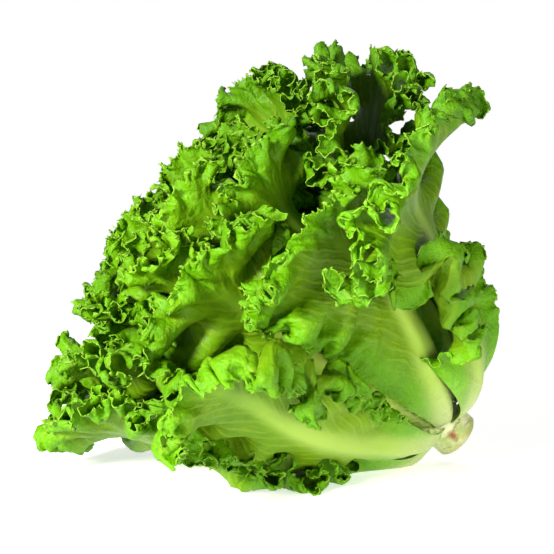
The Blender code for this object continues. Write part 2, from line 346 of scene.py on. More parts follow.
def ring_of(from_outside):
    """The ring a leaf belongs to and its number there, both counted from the outside."""
    if from_outside <= OUTER_LEAVES:
        return "outer", from_outside
    if from_outside <= OUTER_LEAVES + MIDDLE_LEAVES:
        return "middle", from_outside - OUTER_LEAVES
    return "heart", from_outside - OUTER_LEAVES - MIDDLE_LEAVES


def stump_reach(psi):
    """How far the stump's crown reaches from the polar centre, at an opening angle."""
    return 1.0 / np.hypot(np.sin(psi) / STUMP_RADIUS, np.cos(psi) / STUMP_CROWN)


def bulge(r):
    """A factor on every leaf's opening angle, for the head's profile."""
    return WIDE_START - r / CLOSING_REACH + FLARE * smooth_step((r - FLARE_FROM) / FLARE_OVER)


def floor_limit(theta, r):
    """The opening angle at which a turn and a reach meet the surface below."""
    along = AXIS[2]
    across = np.cos(theta) * FRONT[2] + np.sin(theta) * SIDE[2]
    size = np.hypot(along, across)
    facing = np.clip(np.cos(theta - math.radians(RISE_TURN)), 0.0, 1.0) ** RISE_POWER
    height = REST_HEIGHT + TIP_RISE * facing * smooth_step((r - RISE_FROM) / RISE_OVER)
    down = np.clip((height - STUMP_POINT[2]) / (r * size), -1.0, 1.0)
    return np.arctan2(across, along) + np.arccos(down)


def wanted_share(theta, r):
    """How much narrower than a round head this one is, at a turn and a reach."""
    narrow = (1.0 - FRONT_SHARE) * np.cos(theta) ** 2 * smooth_step(r / FLAT_REACH)
    pressed = (1.0 - RIGHT_SHARE) * smooth_step((r - PRESSED_FROM) / PRESSED_OVER)
    released = RELEASED_SHARE * smooth_step((r - RELEASED_FROM) / RELEASED_OVER)
    closed = pressed * (1.0 - released) * np.clip(np.sin(theta), 0.0, 1.0) ** 2
    return 1.0 - narrow - closed


def lying_share(theta, r):
    """The factor on an opening angle where the head lies on the surface, and its limit there."""
    floor = floor_limit(theta, r)
    share = np.array((floor / (math.radians(FREE_OPENING) * bulge(r)), wanted_share(theta, r)))
    return (share**-SETTLE_POWER).sum(0) ** (-1.0 / SETTLE_POWER), floor


def settle(theta, r, psi):
    """The opening angle once the head lies on the surface. It keeps the order of the leaves."""
    share, floor = lying_share(theta, r)
    return np.minimum(psi * share, floor)


def ray_point(theta, r, settled):
    """The point in space at a turn, a reach and a settled opening angle."""
    radial = np.cos(theta)[..., None] * FRONT + np.sin(theta)[..., None] * SIDE
    ray = np.cos(settled)[..., None] * AXIS + np.sin(settled)[..., None] * radial
    return STUMP_POINT + r[..., None] * ray


def head_point(theta, r, psi):
    """The same from the opening angle before the head lies down."""
    return ray_point(theta, r, settle(theta, r, psi))


def polar(points):
    """Turn, reach and settled opening angle of points."""
    q = points - STUMP_POINT
    x, y, z = q @ FRONT, q @ SIDE, q @ AXIS
    return np.arctan2(y, x), np.linalg.norm(q, axis=1), np.arctan2(np.hypot(x, y), z)


def rolled_point(origin, along, up, distance, radius, most):
    """Where a point lies when the sheet bends up from its origin, and runs straight after the bend."""
    angle = np.minimum(distance / radius, math.radians(most))
    straight = distance - angle * radius
    bent = origin + radius * (np.sin(angle) * along + (1.0 - np.cos(angle)) * up)
    return bent + straight * (np.cos(angle) * along + np.sin(angle) * up)


class Leaf:
    """One leaf's place in the head and the sizes that follow from it. Index 0 is innermost."""

    def __init__(self, index):
        rng = np.random.RandomState(LEAF_SEED + index)
        outward = index / (LEAF_COUNT - 1)
        from_outside = LEAF_COUNT - index
        self.index = index
        self.from_outside = from_outside
        self.ring, self.number = ring_of(from_outside)
        self.opening = math.radians(INNER_OPENING + OPENING_STEP * index)
        self.turn = math.radians(FIRST_TURN + GOLDEN_ANGLE * (LEAF_COUNT - 2 - index))
        if from_outside == 1:
            self.turn += math.radians(OUTERMOST_NUDGE)
        self.length = INNER_LENGTH + (OUTER_LENGTH - INNER_LENGTH) * outward**LENGTH_POWER
        self.length *= 1.0 + LENGTH_VARIATION * rng.uniform(-1, 1)
        self.length -= LOWER_LENGTH * math.sin(self.turn) * outward
        self.length *= LENGTH_FACTORS.get(from_outside, 1.0)
        self.half_width = INNER_HALF_WIDTH + (OUTER_HALF_WIDTH - INNER_HALF_WIDTH) * outward
        self.fold_phase = rng.uniform(0, 2 * math.pi)
        self.start = self.meet_stump()
        self.lift = math.radians(LIFT_ANGLE) if from_outside == 1 else 0.0
        self.rolls = [roll for roll in ROLLS if roll.leaf == from_outside]
        self.tip_bow, self.middle_bow = BOWS.get(from_outside, (0.0, 0.0))

    def middle(self, r):
        """The leaf's opening angle at a reach, before the head lies down."""
        return self.opening * bulge(r) - self.lift * smooth_step((r - LIFT_FROM) / LIFT_OVER)

    def bow(self, r):
        """How far the leaf has turned sideways at a reach."""
        s = np.clip((r - self.start) / self.length, 0.0, 1.0)
        at_tip = self.tip_bow * smooth_step((s - BOW_FROM) / (1.0 - BOW_FROM))
        return np.radians(at_tip + self.middle_bow * np.sin(math.pi * s))

    def meet_stump(self):
        """The reach at which the leaf's foot clears the stump's crown all along its width."""
        turns = self.turn + math.radians(LEAF_HALF_SPREAD) * np.linspace(-1.0, 1.0, FIT_SAMPLES)
        reach = STUMP_RADIUS
        for _ in range(FIT_ROUNDS):
            psi = settle(turns, np.full_like(turns, reach), self.opening * bulge(reach))
            reach = float(stump_reach(psi).max())
        return reach + FIT_GAP

    def half_width_at(self, s):
        """Half the flat leaf's width at a share s of its length."""
        widen = smooth_step(s / WIDEST_AT) ** WIDEN_POWER
        body = BASE_HALF_WIDTH + (self.half_width - BASE_HALF_WIDTH) * widen
        tip = np.clip((s - WIDEST_AT) / (1.0 - WIDEST_AT), 0.0, 1.0)
        return body * np.sqrt(1.0 - tip**TIP_POWER)

    def margin(self, t):
        """Place along the leaf and half width at t: 0 is the base and 1 the tip, by arc length."""
        s = 1.0 - np.linspace(1.0, 0.0, MARGIN_SAMPLES) ** 2
        width = self.half_width_at(s)
        steps = np.hypot(np.diff(s) * self.length, np.diff(width))
        travelled = np.concatenate(([0.0], np.cumsum(steps)))
        s_at = np.interp(t, travelled / travelled[-1], s)
        return s_at, np.interp(s_at, s, width)

    def fold(self, t, v, hand):
        """Slow undulation that reaches deeper into the blade."""
        wave = np.sin(2 * math.pi * FOLDS * (1.0 - t) * hand + self.fold_phase)
        return math.radians(FOLD_ANGLE) * v**FOLD_POWER * smooth_step(t / FOLD_RAMP) * wave

    def place(self, t, v, hand):
        """Turn, reach, opening angle, share of the length and distance across, for the smooth leaf."""
        s_margin, width = self.margin(t)
        s = s_margin * (VEIN_FOOT + (1.0 - VEIN_FOOT) * v)
        r = self.start + self.length * s
        psi = self.middle(r)
        needed = width / (r * np.sin(settle(self.turn, r, psi)))
        crowding = (needed / math.radians(LEAF_HALF_SPREAD)) ** SPREAD_POWER
        share = (1.0 + crowding) ** (-1.0 / SPREAD_POWER)
        theta = self.turn + self.bow(r) + hand * v * needed * share
        return theta, r, psi + self.fold(t, v, hand), s, v * width * share

    def flat_point(self, t, v, hand):
        """The leaf's points before its margins roll over."""
        return head_point(*self.place(t, v, hand)[:3])

    def smooth(self, t, v, hand):
        """The leaf's points before its margin grows, with a rolled margin where it has one."""
        points = self.flat_point(t, v, hand)
        for roll in self.rolls:
            chosen = (hand == roll.hand) & (v > roll.start)
            points[chosen] = self.rolled(roll, points[chosen], t[chosen], v[chosen], hand[chosen])
        return points

    def rolled(self, roll, points, t, v, hand):
        """Points past a roll's start, bent round it within its share of the leaf's length."""
        edge = np.full_like(t, roll.start)
        origin = self.flat_point(t, edge, hand)
        across = origin - self.flat_point(t, edge - NUDGE, hand)
        theta, r, psi, s = self.place(t, edge, hand)[:4]
        above = ray_point(theta, r, settle(theta, r, psi) + NUDGE)
        up = normalised(above - origin) * math.copysign(1.0, roll.radius)
        stretch = np.linalg.norm(across, axis=1) / NUDGE
        distance = ((v - edge) * stretch)[:, None]
        bent = rolled_point(origin, normalised(across), up, distance, abs(roll.radius), roll.most)
        kept = smooth_step((roll.end - s) / ROLL_FADE) * smooth_step((s - roll.begin) / ROLL_FADE)
        kept = kept[:, None]
        return kept * bent + (1.0 - kept) * points

    def outward(self, t, v, hand, along):
        """Directions out of the leaf's back, from the way along the margin."""
        inner, outer = np.maximum(v - NUDGE, 0.0), np.minimum(v + NUDGE, 1.0)
        across = self.smooth(t, outer, hand) - self.smooth(t, inner, hand)
        return normalised(np.cross(across, along) * hand[:, None])


def noise_along(rng, t, cells):
    """Smooth noise between about -1 and 1, at places t from 0 to 1."""
    knots = rng.uniform(-1.0, 1.0, cells + 3)
    x = t * cells
    k = np.minimum(x.astype(int), cells - 1)
    f = x - k
    a, b, c, d = (knots[k + offset] for offset in range(4))
    cubic = (2 * a - 5 * b + 4 * c - d) * f**2 + (3 * b - a - 3 * c + d) * f**3
    return 0.5 * (2 * b + (c - a) * f + cubic)


class Sheet:
    """A leaf's grid: both halves joined at the spine, finest along the margin.

    rows[side, k] holds the vertex numbers of row k from the foot to the tip, on side 0 or 1. Both
    sides share the spine and the end of every row.
    """

    def __init__(self, segments, table):
        self.table = table
        self.rows = {}
        t, v, hand = [], [], []
        count = 0
        for side in (0, 1):
            for k, (place, halvings) in enumerate(table):
                if side == 1 and place == 0.0:
                    self.rows[1, k] = self.rows[0, k]
                    continue
                steps = segments >> halvings
                numbers = count + np.arange(steps + 1)
                if side == 1:
                    numbers[-1] = self.rows[0, k][-1]
                fresh = steps + 1 - side
                t.append(np.arange(fresh) / steps)
                v.append(np.full(fresh, place))
                hand.append(np.full(fresh, 2 * side - 1))
                self.rows[side, k] = numbers
                count += fresh
        self.t, self.v, self.hand = np.concatenate(t), np.concatenate(v), np.concatenate(hand)
        self.count = count
        self.triangles = np.concatenate([self.half(side) for side in (0, 1)])

    def half(self, side):
        """Triangles of one side, three to a segment where the rows coarsen."""
        strips = []
        for k in range(len(self.table) - 1):
            outer, inner = self.rows[side, k], self.rows[side, k + 1]
            a, b = inner[:-1], inner[1:]
            if len(outer) == len(inner):
                c, d = outer[:-1], outer[1:]
                leaning = ((np.arange(len(a)) + k) % 2 == 0) & (np.arange(len(a)) < len(a) - 1)
                first = np.where(leaning[:, None], np.stack((a, c, d), 1), np.stack((a, c, b), 1))
                second = np.where(leaning[:, None], np.stack((a, d, b), 1), np.stack((b, c, d), 1))
                strips += [first, second]
            else:
                c, d, e = outer[:-1:2], outer[1::2], outer[2::2]
                strips += [np.stack(s, 1) for s in ((c, d, a), (a, d, b), (d, e, b))]
        faces = np.concatenate(strips)
        return faces if side else faces[:, ::-1]

    def edges(self):
        """Both ends of every edge."""
        pairs = np.concatenate([self.triangles[:, [i, (i + 1) % 3]] for i in range(3)])
        pairs.sort(axis=1)
        return np.unique(pairs, axis=0).T

    def second_neighbours(self):
        """Ends and middle of each run of three points, along the rows and across them."""
        first, last, middle = [], [], []
        for side in (0, 1):
            for k in range(len(self.table)):
                row = self.rows[side, k]
                first.append(row[:-2])
                last.append(row[2:])
                middle.append(row[1:-1])
            for k in range(len(self.table) - 2):
                outer, between, inner = (self.rows[side, k + i] for i in range(3))
                first.append(outer[:: (len(outer) - 1) // (len(inner) - 1)])
                middle.append(between[:: (len(between) - 1) // (len(inner) - 1)])
                last.append(inner)
        return tuple(np.concatenate(part) for part in (first, last, middle))

    def boundary(self):
        """Vertex numbers round the leaf's open edge, in order."""
        foot = [self.rows[0, k][0] for k in range(len(self.table))]
        other_foot = [self.rows[1, k][0] for k in range(len(self.table) - 2, -1, -1)]
        return np.concatenate((self.rows[1, 0][1:], self.rows[0, 0][-2:0:-1], foot, other_foot))

    def sampled(self, values, other):
        """Values given at this sheet's vertices, at the vertices of another sheet."""
        places = np.array([place for place, _ in self.table])
        result = np.empty((other.count, values.shape[1]))
        for side in (0, 1):
            chosen = np.flatnonzero(other.hand == 2 * side - 1)
            t, v = other.t[chosen], other.v[chosen]
            rows = [values[self.rows[side, k]] for k in range(len(places))]
            at = np.stack([
                np.stack([np.interp(t, np.linspace(0, 1, len(row)), axis) for axis in row.T], 1)
                for row in rows
            ])
            inner = np.clip(np.searchsorted(-places, -v, side="left"), 1, len(places) - 1)
            share = ((v - places[inner]) / (places[inner - 1] - places[inner]))[:, None]
            every = np.arange(len(chosen))
            result[chosen] = share * at[inner - 1, every] + (1.0 - share) * at[inner, every]
        return result


class Growing:
    """A leaf's sheet while its margin grows."""

    def __init__(self, leaf, segments, table):
        self.leaf = leaf
        self.sheet = Sheet(segments, table)
        t, v, hand = self.sheet.t, self.sheet.v, self.sheet.hand
        self.along, self.across = leaf.place(t, v, hand)[3:]
        self.base = leaf.smooth(t, v, hand)
        after = leaf.smooth(np.minimum(t + NUDGE, 1.0), v, hand)
        before = leaf.smooth(np.maximum(t - NUDGE, 0.0), v, hand)
        self.tangent = normalised(after - before)
        self.outward = leaf.outward(t, v, hand, self.tangent)
        rim = leaf.flat_point(t, np.ones_like(v), hand)
        spine = leaf.flat_point(t, np.zeros_like(v), hand)
        self.depth = (1.0 - v) * np.linalg.norm(rim - spine, axis=1)
        start = LATE_GROWTH.get(leaf.from_outside, GROWTH_START)
        self.ramp = smooth_step((t - start) / GROWTH_RAMP)
        self.x = self.base.copy()

    def add_waves(self, waves, rng):
        """Low waves across the surface, which tell the margin where to buckle."""
        seed = np.zeros(self.sheet.count)
        for count, height, reach, wander in waves:
            for side in (-1, 1):
                half = self.sheet.hand == side
                t = self.sheet.t[half]
                phase = count * t + wander * noise_along(rng, t, count)
                size = WAVE_SIZE + WAVE_VARIATION * noise_along(rng, t, count)
                wave = height * size * np.cos(2 * math.pi * phase)
                seed[half] += wave * np.exp(-((self.depth[half] / reach) ** WAVE_FADE_POWER))
        self.x = self.x + self.outward * (seed * self.ramp)[:, None]

    def grown_length(self, a, b, growth):
        """Length of the smooth leaf's segments after growth along the margin."""
        span = self.base[b] - self.base[a]
        way = normalised(self.tangent[a] + self.tangent[b])
        parallel = (span * way).sum(1)
        sideways = np.maximum((span * span).sum(1) - parallel**2, 0.0)
        inside = 0.5 * (self.depth[a] + self.depth[b])
        ring = self.leaf.ring
        blade = smooth_step((0.5 * (self.across[a] + self.across[b]) - CALM_WIDTH[ring]) / CALM_FADE)
        more = blade * sum(share * np.exp(-inside / reach) for share, reach in growth)
        factor = 1.0 + more * 0.5 * (self.ramp[a] + self.ramp[b])
        if growth:
            past = 0.5 * (self.along[a] + self.along[b]) - TIP_GROWTH_FROM[ring]
            tip = smooth_step(past / TIP_GROWTH_OVER)
            factor += blade * tip * TIP_GROWTH * np.exp(-inside / TIP_GROWTH_REACH)
        return np.sqrt(sideways + (factor * parallel) ** 2)

    def scatter(self, a, b, vectors):
        """Sum of edge vectors at each vertex, with a minus sign at an edge's second end."""
        count = self.sheet.count
        columns = [np.bincount(a, c, count) - np.bincount(b, c, count) for c in vectors.T]
        return np.stack(columns, 1)

    def held(self):
        """How firmly each point is pulled back to the smooth leaf, and 0 where it is fixed."""
        t, v = self.sheet.t, self.sheet.v
        hold = np.clip(1.0 - (v - SPINE_HELD) / SPINE_FADE, 0.0, 1.0) ** 2 * SPINE_HOLD
        hold = np.maximum(hold, FOOT_HOLD * (1.0 - smooth_step(t / FOOT_HELD)))
        free = np.where((v < SPINE_FIXED) | (t <= 0.0), 0.0, 1.0)
        return hold[:, None], free[:, None]

    def relax(self, rounds, grown_before, growth):
        """Moves the points until edges have their grown length, while growth rises to its full."""
        sheet, base, x = self.sheet, self.base, self.x
        i, j = sheet.edges()
        first, last, middle = sheet.second_neighbours()
        small = self.grown_length(i, j, grown_before)
        large = self.grown_length(i, j, growth)
        straight = sum(self.grown_length(a, b, growth) for a, b in ((first, middle), (middle, last)))
        count = sheet.count
        degree = (np.bincount(i, minlength=count) + np.bincount(j, minlength=count))[:, None]
        bend_degree = np.bincount(first, minlength=count) + np.bincount(last, minlength=count)
        bend_degree = np.maximum(bend_degree, 1)[:, None]
        hold, free = self.held()
        velocity = np.zeros_like(x)
        for step in range(rounds):
            grown = smooth_step((step + 1) / (GROWING_SHARE * rounds))
            target = small + (large - small) * grown
            span = x[j] - x[i]
            length = np.maximum(np.linalg.norm(span, axis=1), TINY)
            pull = (0.5 * (length - target) / length)[:, None] * span
            move = self.scatter(i, j, pull) / degree
            span = x[last] - x[first]
            length = np.maximum(np.linalg.norm(span, axis=1), TINY)
            push = (0.5 * BENDING * np.minimum(length - straight, 0.0) / length)[:, None] * span
            move += self.scatter(first, last, push) / bend_degree
            velocity = (STEP * move + MOMENTUM * velocity) * free
            speed = np.linalg.norm(velocity, axis=1)[:, None]
            velocity *= np.minimum(1.0, LARGEST_MOVE / np.maximum(speed, TINY))
            x = x + velocity
            x = x + hold * (base - x)
            if (step + 1) % ROOM_INTERVAL == 0 or step == rounds - 1:
                x = kept_in_room(x, self.leaf, self.depth)
        self.x = x


def grown_leaf(leaf, segments):
    """The leaf's sheet with its frills: deep waves on a coarse sheet, then the rest on a fine one."""
    rng = np.random.RandomState(FRILL_SEED + leaf.index)
    coarse = Growing(leaf, COARSE_SEGMENTS, COARSE_ROWS)
    coarse.add_waves(COARSE_WAVES, rng)
    coarse.relax(COARSE_ROUNDS, (), GROWTH[:COARSE_GROWTH])
    fine = Growing(leaf, segments, FINE_ROWS)
    fine.x = fine.base + coarse.sheet.sampled(coarse.x - coarse.base, fine.sheet)
    fine.add_waves(FINE_WAVES, rng)
    fine.relax(FINE_ROUNDS, GROWTH[:COARSE_GROWTH], GROWTH)
    travelled = [margin_travelled(fine, side) for side in (0, 1)]
    add_crinkles(fine, travelled, rng)
    add_teeth(fine, travelled, rng)
    return fine


def margin_travelled(fine, side):
    """Length along a half's grown margin, from the foot to each of its points."""
    margin = fine.x[fine.sheet.rows[side, 0]]
    return np.concatenate(([0.0], np.cumsum(np.linalg.norm(np.diff(margin, axis=0), axis=1))))


def add_crinkles(fine, travelled, rng):
    """Ruffles the outermost strip across its surface."""
    normal = vertex_normals(fine.x, fine.sheet.triangles)
    for side in (0, 1):
        whole = travelled[side][-1]
        half = np.flatnonzero(fine.sheet.hand == 2 * side - 1)
        t = fine.sheet.t[half]
        place = np.interp(t, np.linspace(0.0, 1.0, len(travelled[side])), travelled[side]) / whole
        for length, size, reach in CRINKLES:
            wave = noise_along(rng, place, int(whole / length))
            strip = np.exp(-((fine.depth[half] / reach) ** CRINKLE_FADE_POWER)) * fine.ramp[half]
            fine.x[half] += normal[half] * (size * wave * strip)[:, None]


def pointed(rng, travelled, length, depth):
    """Heights of irregular points, about a length apart, at places along a margin."""
    count = max(int(travelled[-1] / length), 1)
    knots = np.linspace(0.0, travelled[-1], count + 1)
    knots[1:-1] += rng.uniform(-POINT_SHIFT, POINT_SHIFT, count - 1) * length
    tips = 0.5 * (knots[1:] + knots[:-1])
    place = np.sort(np.concatenate((knots, tips)))
    height = np.zeros(len(place))
    height[1::2] = rng.uniform(*POINT_HEIGHTS, count)
    return (np.interp(travelled, place, height) ** POINT_SHARPNESS - POINT_INSET) * depth


def add_teeth(fine, lengths, rng):
    """Cuts the margin into lobes and teeth by moving its outermost rows in and out."""
    for side, travelled in enumerate(lengths):
        rows = [fine.sheet.rows[side, k] for k in range(len(LOBE_SHARES))]
        inside = np.repeat(fine.x[rows[2]], 2, axis=0)[: len(rows[0])]
        way = normalised(fine.x[rows[0]] - inside)
        tooth = pointed(rng, travelled, TOOTH_LENGTH, TOOTH_DEPTH)
        lobe = pointed(rng, travelled, LOBE_LENGTH, LOBE_DEPTH)
        for row, lobe_share, tooth_share in zip(rows, LOBE_SHARES, TOOTH_SHARES):
            apart = (len(travelled) - 1) // (len(row) - 1)
            amount = (lobe_share * lobe + tooth_share * tooth)[::apart] * fine.ramp[row]
            fine.x[row[:-1]] += (way[::apart] * amount[:, None])[:-1]


def kept_in_room(x, leaf, depth):
    """Points moved back between the neighbouring leaves and above the surface."""
    theta, r, settled = polar(x)
    share = lying_share(theta, r)[0]
    middle = leaf.middle(r)
    turned = np.mod(theta - leaf.turn + math.pi, 2 * math.pi) - math.pi
    plus = smooth_step(0.5 + 0.5 * turned / math.radians(SIDE_CHANGE))
    loose = 1.0 + MARGIN_ROOM * smooth_step(1.0 - depth / MARGIN_ROOM_REACH)
    inward = (FAR_ROOM + (NEAR_ROOM - FAR_ROOM) * plus) * loose
    out_minus = NEAR_ROOM if leaf.from_outside > NEAR_NEIGHBOUR else FREE_ROOM
    out_plus = FAR_ROOM if leaf.from_outside > FAR_NEIGHBOUR else FREE_ROOM
    outward = (out_minus + (out_plus - out_minus) * plus) * loose
    for roll in leaf.rolls:
        inward = inward + ROLL_ROOM * (roll.radius < 0.0) * (turned * roll.hand > 0.0)
    lowest = (middle - np.radians(inward)) * share
    highest = (middle + np.radians(outward)) * share
    kept = np.clip(settled, np.maximum(lowest, 0.0), highest)
    moved = kept != settled
    x = x.copy()
    x[moved] = ray_point(theta[moved], r[moved], kept[moved])
    x[:, 2] = np.maximum(x[:, 2], REST_HEIGHT)
    return x


def rib_thickness(along, across):
    """The blade's thickness with its midrib."""
    left = np.clip(1.0 - along, 0.0, 1.0)
    rib = left**RIB_FADE * np.exp(-((across / (RIB_TIP_WIDTH + RIB_WIDTH * left)) ** 2))
    return BLADE_THICK + (RIB_THICK - BLADE_THICK) * rib


def vertex_normals(x, triangles):
    """Unit normals at the vertices, weighted by the area of their triangles."""
    a, b, c = (x[triangles[:, k]] for k in range(3))
    face = np.cross(b - a, c - a)
    columns = [
        sum(np.bincount(triangles[:, k], axis, len(x)) for k in range(3)) for axis in face.T
    ]
    return normalised(np.stack(columns, 1))


def closed_mesh(name, sheet, x, thickness):
    """The sheet as a thin closed solid, thickened outward."""
    normal = vertex_normals(x, sheet.triangles)
    outside = x + normal * thickness[:, None]
    points = np.concatenate((x, outside))
    points[:, 2] = np.maximum(points[:, 2], 0.0)
    n = sheet.count
    edge = sheet.boundary()
    after = np.roll(edge, -1)
    rim = np.concatenate((
        np.stack((edge, after, after + n), 1),
        np.stack((edge, after + n, edge + n), 1),
    ))
    faces = np.concatenate((sheet.triangles[:, ::-1], sheet.triangles + n, rim))
    mesh = bpy.data.meshes.new(name)
    mesh.vertices.add(len(points))
    mesh.vertices.foreach_set("co", points.ravel().astype(np.float32))
    mesh.loops.add(faces.size)
    mesh.loops.foreach_set("vertex_index", faces.ravel().astype(np.int32))
    mesh.polygons.add(len(faces))
    mesh.polygons.foreach_set("loop_start", np.arange(0, faces.size, 3, dtype=np.int32))
    mesh.polygons.foreach_set("use_smooth", np.ones(len(faces), dtype=bool))
    mesh.update(calc_edges=True)
    mesh.validate()
    return mesh


def set_attribute(mesh, name, values):
    """Gives both faces of the leaf the values of its sheet."""
    layer = mesh.attributes.new(name, "FLOAT", "POINT")
    layer.data.foreach_set("value", np.tile(values, 2).astype(np.float32))


def add_leaf(leaf, materials):
    ring = leaf.ring
    node = f"{ring}_leaf_{leaf.number}"
    name = "frilled_" + node
    grown = grown_leaf(leaf, FINE_SEGMENTS[ring])
    thickness = rib_thickness(grown.along, grown.across)
    mesh = closed_mesh(name, grown.sheet, grown.x, thickness)
    set_attribute(mesh, "along", grown.along)
    set_attribute(mesh, "across", grown.across * grown.sheet.hand / MM)
    set_attribute(mesh, "depth", grown.depth / MM)
    set_attribute(mesh, "reach", grown.along * leaf.length / MM)
    mesh.materials.append(materials[ring])
    obj = bpy.data.objects.new(name, mesh)
    bpy.context.scene.collection.objects.link(obj)
    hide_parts(node)
    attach(obj, "root")


class Nodes:
    """Short calls for building the node tree of a new material or world."""

    def __init__(self, owner):
        owner.use_nodes = True
        self.owner = owner
        self.tree = owner.node_tree
        self.tree.nodes.clear()

    def feed(self, socket, value):
        """Links a node's output to a socket, or sets the socket's own value."""
        if isinstance(value, bpy.types.NodeSocket):
            self.tree.links.new(value, socket)
        else:
            socket.default_value = value

    def add(self, kind, inputs=None, **settings):
        node = self.tree.nodes.new("ShaderNode" + kind)
        for key, value in settings.items():
            setattr(node, key, value)
        for key, value in (inputs or {}).items():
            self.feed(node.inputs[key], value)
        return node

    def attribute(self, name):
        return self.add("Attribute", attribute_name=name).outputs["Fac"]

    def math(self, operation, *values):
        return self.add("Math", dict(enumerate(values)), operation=operation).outputs[0]

    def plus(self, first, second):
        return self.math("ADD", first, second)

    def minus(self, first, second):
        return self.math("SUBTRACT", first, second)

    def times(self, first, second):
        return self.math("MULTIPLY", first, second)

    def vector(self, operation, *values):
        """A vector operation's result: a number for a length, distance or dot product."""
        node = self.add("VectorMath", dict(enumerate(values)), operation=operation)
        number = operation in ("LENGTH", "DISTANCE", "DOT_PRODUCT")
        return node.outputs["Value" if number else "Vector"]

    def fade(self, value, low, high):
        """0 below low and 1 above high, smoothly; the other way round where low is above high."""
        node = self.add("MapRange", {"Value": value, "From Min": low, "From Max": high})
        node.interpolation_type = "SMOOTHSTEP"
        return node.outputs["Result"]

    def mix(self, factor, first, second):
        """The first colour where the factor is 0, and the second where it is 1."""
        node = self.add("Mix", {0: factor}, data_type="RGBA")
        self.feed(node.inputs[6], first)
        self.feed(node.inputs[7], second)
        return node.outputs[2]

    def noise(self, vector, scale, detail=3.0, roughness=0.55):
        values = {"Vector": vector, "Scale": scale, "Detail": detail, "Roughness": roughness}
        return self.add("TexNoise", values).outputs["Fac"]

    def finish(self, shader, output="OutputMaterial"):
        """The material or world, with its surface from a shader node."""
        self.add(output, {"Surface": shader.outputs[0]})
        return self.owner


class LeafNodes(Nodes):
    """A leaf material's nodes, with the places on the leaf that its looks follow.

    The mesh gives along as a share of the leaf's length, and in millimetres across from the spine,
    depth from the margin and reach from the foot.
    """

    def __init__(self, ring):
        super().__init__(bpy.data.materials.new(ring + "_leaf"))
        self.along = self.attribute("along")
        self.depth = self.attribute("depth")
        self.reach = self.attribute("reach")
        across = self.attribute("across")
        self.off_spine = self.math("ABSOLUTE", across)
        self.flat = self.add("CombineXYZ", {"X": across, "Y": self.reach, "Z": 0.0}).outputs[0]
        self.space = self.add("TexCoord").outputs["Object"]
        rib = self.plus(PAINTED_RIB, self.times(self.minus(1.0, self.along), PAINTED_RIB_MORE))
        self.on_rib = self.fade(self.math("DIVIDE", self.off_spine, rib), 1.0, 0.15)
        self.off_rib = self.minus(1.0, self.on_rib)
        self.on_blade = self.times(self.off_rib, self.fade(self.along, 0.10, 0.35))
        self.frilled = self.fade(self.depth, 34.0, 10.0)
        self.vein_fade = self.times(self.fade(self.depth, 2.0, 30.0), self.on_blade)
        self.veins = self.vein_pattern()

    def vein_pattern(self):
        """Side veins that leave the rib at a slant, with streaks beside them and a net between."""
        slant = self.minus(self.reach, self.times(self.off_spine, VEIN_SLANT))
        wander = self.times(self.noise(self.flat, 0.03, 2.0), VEIN_WANDER)
        phase = self.plus(self.math("DIVIDE", slant, VEIN_SPACING), wander)
        off_vein = self.math("ABSOLUTE", self.minus(self.math("FRACT", phase), 0.5))
        drawn_out = self.times(self.off_spine, 0.02)
        fan = self.add("CombineXYZ", {"X": phase, "Y": drawn_out, "Z": 0.0}).outputs[0]
        streak = self.times(self.fade(self.noise(fan, 3.0, 4.0, 0.7), 0.42, 0.72), STREAK_SHARE)
        side_vein = self.math("MAXIMUM", self.fade(off_vein, 0.34, 0.0), streak)
        warp = self.add("TexNoise", {"Vector": self.flat, "Scale": 0.12, "Detail": 2.0})
        bent = self.vector("ADD", self.flat, self.vector("MULTIPLY", warp.outputs["Color"], NET_WARP))
        cells = {"Vector": bent, "Scale": 0.20, "Randomness": 0.9}
        net = self.add("TexVoronoi", cells, feature="DISTANCE_TO_EDGE").outputs["Distance"]
        return self.math("MAXIMUM", side_vein, self.times(self.fade(net, 0.22, 0.0), NET_SHARE))

    def colour(self, finish):
        """The blade's colour under the other layers, each as strong as its mask and its share."""
        across_foot = self.math("MULTIPLY_ADD", self.on_rib, 0.6, 0.4)
        foot = self.times(self.fade(self.along, 0.25, 0.02), across_foot)
        pale = self.times(self.fade(self.along, 0.68, 0.15), self.fade(self.depth, 12.0, 36.0))
        patches = self.fade(self.noise(self.flat, 0.02), 0.42, 0.72)
        mottle = self.fade(self.noise(self.space, 130.0), 0.5, 0.75)
        # Painted shade: the leaves turn darker green from 0.15 to 0.24 m above the floor.
        painted_shade_top = self.fade(self.add("SeparateXYZ", {0: self.space}).outputs["Z"], 0.15, 0.24)
        veins = self.times(self.veins, self.vein_fade)
        rib = self.times(self.on_rib, self.fade(self.along, 0.95, 0.45))
        edge = self.fade(self.depth, 0.6, 0.05)
        colour = finish["blade"]
        for mask, share, layer in (
            (pale, 0.9, PALE_GREEN),
            (self.frilled, 1.0, finish["frill"]),
            (patches, 0.45, DARK_GREEN),
            (mottle, 0.35, PALE_GREEN),
            (painted_shade_top, 0.45, DARK_GREEN),
            (veins, 0.32, VEIN_COLOUR),
            (rib, 1.0, RIB_COLOUR),
            (foot, finish["foot"], FOOT_COLOUR),
            (edge, 0.5, EDGE_COLOUR),
        ):
            colour = self.mix(self.times(mask, share), colour, layer)
        return colour

    def relief(self):
        """Raised veins, a quilted blade, and a crumpled and puckered frill."""
        height = self.times(self.veins, self.times(self.vein_fade, 0.5))
        for noise, place, size in (
            (self.noise(self.flat, 0.16, 4.0), self.on_blade, 0.9),
            (self.noise(self.space, 330.0, 3.0, 0.6), self.frilled, 1.6),
            (self.noise(self.space, 130.0, 2.0, 0.5), self.frilled, 3.0),
        ):
            height = self.plus(height, self.times(noise, self.times(place, size)))
        return self.add("Bump", {"Strength": 0.7, "Distance": 1.2 * MM, "Height": height}).outputs[0]


